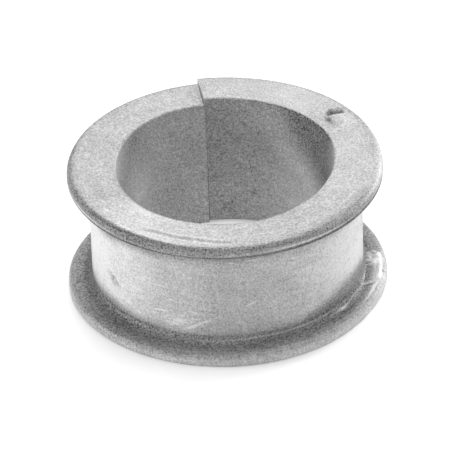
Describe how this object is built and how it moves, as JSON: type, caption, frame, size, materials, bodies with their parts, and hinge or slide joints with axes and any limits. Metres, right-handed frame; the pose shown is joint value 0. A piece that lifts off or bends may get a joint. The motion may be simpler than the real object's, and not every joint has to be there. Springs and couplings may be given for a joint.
{
  "type": "split flanged bushing",
  "caption": "Spool-shaped plastic bushing ring with a plain bore, a straight hub between two flanges and a slit through the wall, for carrying a steering column shaft.",
  "frame": {"origin": "on the bore axis, in the plane of the bottom face", "axes": "+Z along the bore axis, up from the lower flange to the upper one; the slit is at the back, near +Y, and the pictured front faces -Y"},
  "size_m": [0.0376, 0.0376, 0.0174],
  "materials": {
    "bushing": "satin grey moulded plastic with fine scratches, a nick in the top face and a rough gate patch on the lower flange"
  },
  "bodies": {
    "root": {"bushing": "bushing"}
  },
  "joints": []
}
